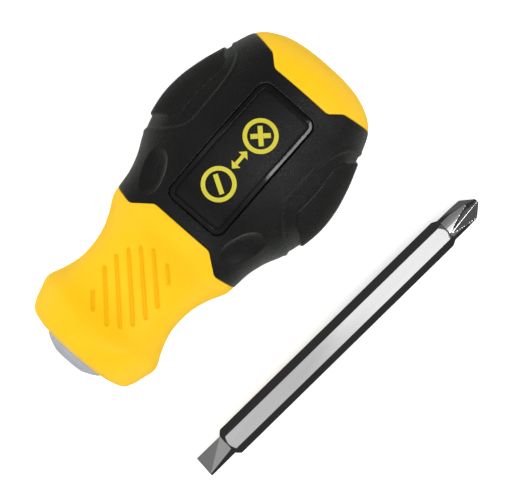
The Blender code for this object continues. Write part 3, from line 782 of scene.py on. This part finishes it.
def make_socket(material):
    t = full_turn(SOCKET_COLUMNS)
    hexagon = hexagon_radius(math.pi / 2 - t, SOCKET_FLATS, SOCKET_EDGE_RADIUS)
    reach = RING_WIRE_RADIUS + BORE_GAP
    rows = [round_points(x, hexagon, t) for x in (SOCKET_DEPTH, RING_X + reach)]
    rows += [round_points(x, RING_RADIUS + reach, t) for x in (RING_X + reach, RING_X - reach)]
    rows += [round_points(x, hexagon + d, t) for x, d in ((RING_X - reach, 0), *SOCKET_MOUTH)]
    rows += [round_points(x, r, t) for x, r in (NOSE_RIM, *smooth_line(NOSE_LINE, NOSE_STEPS))]
    rows += [round_points(x, r, t) for x, r in (
        (NOSE_SEAT_X - NOSE_CHAMFER, NOSE_RADIUS), (NOSE_SEAT_X, NOSE_RADIUS - NOSE_CHAMFER),
        (NOSE_SEAT_X, SHANK_RADIUS), (SOCKET_DEPTH - SHANK_CHAMFER, SHANK_RADIUS),
        (SOCKET_DEPTH, SHANK_RADIUS - SHANK_CHAMFER))]
    loft("socket_insert_skin", rows, [material], "handle", "socket_insert",
         ring=True, sharp=35)


def make_ring(material):
    """Split spring ring of round wire with rounded ends."""
    u = full_turn(WIRE_COLUMNS)
    sweep = np.linspace(RING_OPENING / 2, 2 * math.pi - RING_OPENING / 2, WIRE_ROWS)
    spread = RING_WIRE_RADIUS / RING_RADIUS
    end = [(sweep[0] + spread * (1 - math.cos(c)), math.sin(c))
           for c in np.linspace(RING_END_START, math.pi / 2, WIRE_END_ROWS)]
    wire = end + [(a, 1.0) for a in sweep if sweep[0] + spread < a < sweep[-1] - spread]
    wire += [(2 * math.pi - a, thickness) for a, thickness in end[::-1]]
    rows = []
    for angle, thickness in wire:
        r = RING_RADIUS + RING_WIRE_RADIUS * thickness * np.cos(u)
        x = RING_X + RING_WIRE_RADIUS * thickness * np.sin(u)
        rows.append(np.stack([x, r * math.cos(angle), r * math.sin(angle)], -1))
    loft("retaining_ring_wire", rows, [material], "handle", "retaining_ring")


def make_stop(material):
    t = full_turn(STOP_COLUMNS)
    low = SOCKET_DEPTH + BORE_GAP
    high = low + STOP_THICKNESS
    profile = [(low, CAP_RADIUS)]
    profile += [(low + depth, STOP_RADIUS - cut) for depth, cut in STOP_RIM]
    profile += [(high - depth, STOP_RADIUS - cut) for depth, cut in STOP_RIM[::-1]]
    profile += [(high, CAP_RADIUS)]
    rows = [round_points(x, r, t) for x, r in profile]
    loft("stop_disc_face", rows, [material], "handle", "stop_disc", sharp=60)


# ---------------------- blade
def polygon_radius(angle, corners):
    """Distance from the axis to a polygon that winds round it."""
    radius = np.zeros(angle.shape)
    direction = np.stack([np.cos(angle), np.sin(angle)], -1)
    for a, b in zip(corners, np.roll(corners, -1, axis=0)):
        edge = b - a
        normal = np.array((edge[1], -edge[0]))
        facing = direction @ normal
        with np.errstate(divide="ignore", invalid="ignore"):
            r = (a @ normal) / facing
            hit = direction * r[:, None] - a
            s = (hit @ edge) / (edge @ edge)
        good = (r > 0) & (s >= -ROUNDING_ERROR) & (s <= 1 + ROUNDING_ERROR)
        radius = np.maximum(radius, np.where(good, r, 0))
    return radius


def slot_radius(x, angle):
    """Twisted wedge from the thin tip to its oblong root, each side folded along a diagonal."""
    roll = np.array((math.cos(SLOT_TIP_ROLL), math.sin(SLOT_TIP_ROLL)))
    width = roll * SLOT_TIP_WIDTH / 2
    depth = np.array((-roll[1], roll[0])) * SLOT_TIP_THICKNESS / 2
    tip = np.array([width + depth, -width + depth, -width - depth, width - depth])
    root = SLOT_ROOT_RADIUS * np.stack([np.cos(SLOT_ROOT_ANGLES), np.sin(SLOT_ROOT_ANGLES)], -1)
    s = min(x / SLOT_TIP_LENGTH, 1)
    corners = []
    for i in range(4):
        corners.append(tip[i] * (1 - s) + root[i] * s)
        corners.append(tip[(i + 1) % 4] * (1 - s) + root[i] * s)
    return polygon_radius(angle, np.array(corners))


def cross_radius(x, angle):
    """Round neck and blunt cone with four flutes that run out in a curve."""
    cone = np.interp(x, (CROSS_NECK_X, CROSS_CONE_X, BLADE_LENGTH),
                     (CROSS_RADIUS, CROSS_RADIUS, CROSS_TIP_RADIUS))
    s = (BLADE_LENGTH - x) / FLUTE_LENGTH
    root = FLUTE_TIP_DEPTH + (CROSS_RADIUS - FLUTE_TIP_DEPTH) * ((1 - FLUTE_CURVE) * s + FLUTE_CURVE * s**2)
    off = (angle - CROSS_ROLL) % (math.pi / 2) - math.pi / 4
    side = np.hypot(np.sin(off), FLUTE_ROOT_ROUNDING) - FLUTE_ROOT_ROUNDING
    flute = root / np.maximum(np.cos(off) - side / math.tan(FLUTE_HALF_ANGLE), ROUNDING_ERROR)
    blend = np.maximum(FLUTE_EDGE_BLEND - np.abs(cone - flute), 0)**2 / (4 * FLUTE_EDGE_BLEND)
    return np.minimum(cone, flute) - blend


def blade_ring(x, radius, angle):
    """A ring of points round the blade's axis, in the handle's frame."""
    along, across = x - BLADE_LENGTH / 2, radius * np.cos(angle)
    low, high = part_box("blade")
    lift = (low[2] + high[2]) / 2 - handle_origin()[2]
    ux, uy = blade_direction()
    return np.stack([BLADE_MID[0] + along * ux - across * uy, BLADE_MID[1] + along * uy + across * ux,
                     lift / MM + radius * np.sin(angle)], -1)


def shoulder_rows(start, end, start_radius, end_radius, hexagon, angle):
    """Rings of the hexagon where a cone cuts its corners off."""
    rows = []
    for x in np.linspace(start, end, SHOULDER_ROWS):
        cone = np.interp(x, (start, end), (start_radius, end_radius))
        rows.append(blade_ring(x, np.minimum(hexagon, cone), angle))
    return rows


def make_blade(material):
    angle = full_turn(BLADE_COLUMNS)
    hexagon = hexagon_radius(angle, BLADE_FLATS, HEX_EDGE_RADIUS)
    corner = BLADE_FLATS / math.sqrt(3)
    slot, neck = SLOT_TIP_LENGTH, CROSS_NECK_X
    first, last = slot + SLOT_SHOULDER_LENGTH, neck - SHOULDER_LENGTH
    rows = [blade_ring(x, slot_radius(x, angle), angle) for x in np.linspace(0, slot, SLOT_ROWS)]
    rows += shoulder_rows(slot, first, SLOT_ROOT_RADIUS + SLOT_STEP, corner, hexagon, angle)
    rows += [blade_ring(x, hexagon, angle) for x in np.linspace(first, last, HEXAGON_ROWS)[1:-1]]
    rows += shoulder_rows(last, neck, corner, CROSS_RADIUS, hexagon, angle)
    crowding = FLUTE_CROWDING / 4 * np.cos(4 * (angle - CROSS_ROLL) + math.pi / 2)
    flutes = np.linspace(neck, CROSS_CONE_X, FLUTE_ROWS)[1:]
    cone = np.linspace(CROSS_CONE_X, BLADE_LENGTH, CONE_ROWS)[1:]
    for x in (*flutes, *cone):
        turned = angle + crowding * smooth_step(x, neck, BLADE_LENGTH - FLUTE_LENGTH)
        rows.append(blade_ring(x, cross_radius(x, turned), turned))
    loft("blade_steel", rows, [material], "blade", "blade", sharp=12)


# ---------------------- materials
def new_node(tree, kind, inputs=None, **settings):
    made = tree.nodes.new(kind)
    for key, value in settings.items():
        setattr(made, key, value)
    for key, value in (inputs or {}).items():
        if isinstance(value, bpy.types.NodeSocket):
            tree.links.new(value, made.inputs[key])
        else:
            made.inputs[key].default_value = value
    return made


def noise(tree, size, detail, stretch):
    """Noise with features of a given size in millimetres, in the piece's own coordinates."""
    place = new_node(tree, "ShaderNodeTexCoord").outputs["Object"]
    mapped = new_node(tree, "ShaderNodeMapping", {"Vector": place, "Scale": stretch}).outputs["Vector"]
    made = new_node(tree, "ShaderNodeTexNoise", {
        "Vector": mapped, "Scale": 1 / (size * MM), "Detail": detail})
    return made.outputs["Fac"]


def ramp(tree, value, start, end, low, high, smooth=False):
    """A value that goes from low to high while another goes from start to end."""
    made = new_node(tree, "ShaderNodeMapRange", {
        "Value": value, "From Min": start, "From Max": end, "To Min": low, "To Max": high},
        interpolation_type="SMOOTHSTEP" if smooth else "LINEAR")
    return made.outputs["Result"]


def spread(tree, value, low, high):
    """Noise turned into a range of values."""
    return ramp(tree, value, *NOISE_RANGE, low, high)


def two_colors(tree, factor, first, second):
    """A mix of two colours. Its sockets go by number, because their names aren't unique."""
    made = new_node(tree, "ShaderNodeMix", data_type="RGBA")
    tree.links.new(factor, made.inputs[0])
    made.inputs[6].default_value = (*first, 1)
    made.inputs[7].default_value = (*second, 1)
    return made.outputs[2]


def new_material(name, colors, patch, roughness, grain, bump, constants, stretch=(1, 1, 1)):
    """Principled material: two close colours in soft patches, uneven roughness and a grain bump.

    Patch and grain are the sizes of the colour patches and of the grain, in millimetres.
    """
    material = bpy.data.materials.new(name)
    material.use_nodes = True
    tree = material.node_tree
    shader = tree.nodes["Principled BSDF"]
    for key, value in constants.items():
        shader.inputs[key].default_value = value
    patches = spread(tree, noise(tree, patch, PATCH_DETAIL, stretch), 0, 1)
    smudges = noise(tree, patch * SMUDGE_SHARE, SMUDGE_DETAIL, stretch)
    height = noise(tree, grain, GRAIN_DETAIL, stretch)
    relief = new_node(tree, "ShaderNodeBump", {
        "Height": height, "Strength": bump, "Distance": grain * GRAIN_DEPTH * MM})
    tree.links.new(two_colors(tree, patches, *colors), shader.inputs["Base Color"])
    tree.links.new(spread(tree, smudges, *roughness), shader.inputs["Roughness"])
    tree.links.new(relief.outputs["Normal"], shader.inputs["Normal"])
    return material


RUBBER_COLORS = ((0.0028, 0.0034, 0.0028), (0.0043, 0.0051, 0.0043))
RUBBER_SHEEN = {"Sheen Roughness": 0.38, "Sheen Tint": (0.94, 1.0, 0.92, 1.0)}

YELLOW = new_material(
    "yellow_plastic", ((0.98, 0.57, 0.005), (1.0, 0.60, 0.008)), patch=9.0, roughness=(0.45, 0.58),
    grain=0.5, bump=0.08, constants={"Specular IOR Level": 0.22})
RUBBER = new_material(
    "black_rubber", RUBBER_COLORS, patch=6.0, roughness=(0.34, 0.46), grain=0.32, bump=1.0,
    constants={"Specular IOR Level": 0.34, "Sheen Weight": 0.27, **RUBBER_SHEEN})
KNURLED = new_material(
    "knurled_rubber", RUBBER_COLORS, patch=6.0, roughness=(0.34, 0.46), grain=0.25, bump=0.3,
    constants={"Specular IOR Level": 0.4, "Sheen Weight": 0.32, **RUBBER_SHEEN})
BADGE_FRAME = new_material(
    "badge_gloss", ((0.004, 0.004, 0.0045), (0.006, 0.006, 0.0065)), patch=5.0, roughness=(0.1, 0.16),
    grain=0.6, bump=0.05, constants={"Specular IOR Level": 0.4})
BADGE_FACE = new_material(
    "badge_grain", ((0.0042, 0.0042, 0.0047), (0.0060, 0.0060, 0.0066)), patch=5.0, roughness=(0.38, 0.48),
    grain=0.3, bump=1.0, constants={"Specular IOR Level": 0.36})
PRINT = new_material(
    "badge_ink", ((0.60, 0.53, 0.036), (0.66, 0.60, 0.05)), patch=3.0, roughness=(0.4, 0.5),
    grain=0.15, bump=0.3, constants={"Specular IOR Level": 0.3})
GREY = new_material(
    "grey_plastic", ((0.42, 0.44, 0.49), (0.47, 0.49, 0.54)), patch=4.0, roughness=(0.35, 0.48),
    grain=0.4, bump=0.15, constants={"Specular IOR Level": 0.4})
STEEL = new_material(
    "plated_steel", ((0.74, 0.74, 0.74), (0.80, 0.80, 0.80)), patch=5.0, roughness=(0.08, 0.14),
    grain=0.25, bump=0.06, constants={"Metallic": 1.0}, stretch=(0.08, 1, 1))
SPRING = new_material(
    "spring_steel", ((0.42, 0.42, 0.44), (0.5, 0.5, 0.52)), patch=1.5, roughness=(0.25, 0.4),
    grain=0.2, bump=0.15, constants={"Metallic": 1.0})
STOP = new_material(
    "stop_steel", ((0.46, 0.46, 0.48), (0.55, 0.55, 0.57)), patch=2.5, roughness=(0.35, 0.5),
    grain=0.3, bump=0.3, constants={"Metallic": 1.0})

make_core(YELLOW)
make_grip(RUBBER)
make_pad("finger_pad_left", 1, KNURLED)
make_pad("finger_pad_right", -1, KNURLED)
make_badge("badge_front_plate", 1, "badge_front", BADGE_FRAME, BADGE_FACE)
make_badge("badge_back_plate", -1, "badge_back", BADGE_FRAME, BADGE_FACE)
make_print("badge_print_front", 1, "badge_front", PRINT)
make_print("badge_print_back", -1, "badge_back", PRINT)
make_socket(GREY)
make_ring(SPRING)
make_stop(STOP)
make_blade(STEEL)


# ---------------------- stage, light and camera
def make_floor():
    mesh = bpy.data.meshes.new("floor")
    reach = FLOOR_HALF_SIZE
    corners = [(-reach, -reach, 0), (reach, -reach, 0), (reach, reach, 0), (-reach, reach, 0)]
    mesh.from_pydata(corners, [], [(0, 1, 2, 3)])
    material = bpy.data.materials.new("pale_floor")
    material.use_nodes = True
    shader = material.node_tree.nodes["Principled BSDF"]
    shader.inputs["Base Color"].default_value = FLOOR_COLOR
    shader.inputs["Roughness"].default_value = FLOOR_ROUGHNESS
    shader.inputs["Specular IOR Level"].default_value = 0.0
    shader.inputs["Emission Color"].default_value = WHITE
    shader.inputs["Emission Strength"].default_value = FLOOR_GLOW
    mesh.materials.append(material)
    floor = bpy.data.objects.new("floor", mesh)
    floor.location.z = -FLOOR_DROP * MM
    floor.visible_glossy = False         # the photo's blade mirrors dark surroundings, not the floor
    bpy.context.scene.collection.objects.link(floor)


def math_node(tree, operation, *values):
    return new_node(tree, "ShaderNodeMath", dict(enumerate(values)), operation=operation).outputs["Value"]


def make_world():
    """Grey walls, dark below the horizon, and a white tent overhead that dims towards +X and -X."""
    world = bpy.data.worlds.new("studio")
    world.use_nodes = True
    tree = world.node_tree
    direction = new_node(tree, "ShaderNodeTexCoord").outputs["Generated"]
    parts = new_node(tree, "ShaderNodeSeparateXYZ", {"Vector": direction}).outputs
    wall = ramp(tree, parts["Z"], *HORIZON_Z, 0.0, WALL_LIGHT)
    crown = ramp(tree, parts["Z"], *WALL_TOP_Z, 0.0, WALL_LIGHT)
    tent = math_node(tree, "ADD", crown, ramp(tree, parts["Z"], *TENT_Z, 0.0, TENT_LIGHT, smooth=True))
    rear = ramp(tree, parts["X"], *TENT_REAR_X, 1.0, TENT_REAR_SHARE)
    front = ramp(tree, parts["X"], *TENT_FRONT_X, TENT_FRONT_SHARE, 1.0)
    upper = math_node(tree, "MULTIPLY", math_node(tree, "MULTIPLY", tent, rear), front)
    band = math_node(tree, "SUBTRACT", wall, crown)
    rear_wall = ramp(tree, parts["X"], *REAR_WALL_X, 1.0, REAR_WALL_SHARE)
    lower = math_node(tree, "MULTIPLY_ADD", band, rear_wall, FLOOR_LIGHT)
    background = tree.nodes["Background"]
    tree.links.new(math_node(tree, "ADD", upper, lower), background.inputs["Strength"])
    background.inputs["Color"].default_value = WHITE
    bpy.context.scene.world = world


def make_light(name, size, location, target, radiance, turn=0.0, glossy=True):
    """A rectangular light aimed at a target. Its power follows from its radiance and its area."""
    light = bpy.data.lights.new(name, "AREA")
    light.shape = "RECTANGLE"
    light.size, light.size_y = size
    light.energy = radiance * math.pi * size[0] * size[1]
    lamp = bpy.data.objects.new(name, light)
    lamp.location = location
    lamp.rotation_euler = (Vector(target) - Vector(location)).to_track_quat("-Z", "Y").to_euler()
    lamp.rotation_euler.rotate_axis("Z", turn)
    lamp.visible_camera = False
    lamp.visible_glossy = glossy
    bpy.context.scene.collection.objects.link(lamp)


def make_camera():
    x, y, z = handle_origin()
    data = bpy.data.cameras.new("camera")
    data.sensor_width = SENSOR
    data.lens = SENSOR * CAMERA_HEIGHT / VIEW_WIDTH
    camera = bpy.data.objects.new("camera", data)
    camera.location = (x + CAMERA_POINT[0] * MM, y + CAMERA_POINT[1] * MM, z + CAMERA_HEIGHT * MM)
    camera.rotation_euler = (0, 0, CAMERA_ROLL)
    bpy.context.scene.collection.objects.link(camera)
    bpy.context.scene.camera = camera


make_floor()
make_world()
make_light("softbox", size=(0.26, 0.62), location=(0.125, -0.19, 1.0), target=(0.125, -0.19, 0),
           radiance=0.65)
make_light("key_light", size=(0.93, 0.23), location=(0.47, -0.61, 0.85), target=(0.47, -0.61, 0),
           radiance=8.5, turn=math.radians(-17))
for name, size, location, target, radiance in (
        ("left_fill", (1.6, 0.9), (0, 0.95, 0.55), FILL_TARGET, 1.3),
        ("right_fill", (1.6, 0.9), (0, -0.95, 0.5), FILL_TARGET, 0.4),
        ("front_fill", (0.9, 1.6), (-0.95, 0, 0.4), FILL_TARGET, 0.7),
        ("rear_fill", (0.9, 1.6), (0.95, 0, 0.4), FILL_TARGET, 0.25),
        ("top_fill", (1.6, 1.6), (-0.25, 0.1, 1.3), (-0.25, 0.1, 0), 0.7)):
    make_light(name, size, location, target, radiance, glossy=False)
make_camera()
bpy.context.scene.view_settings.view_transform = "Standard"
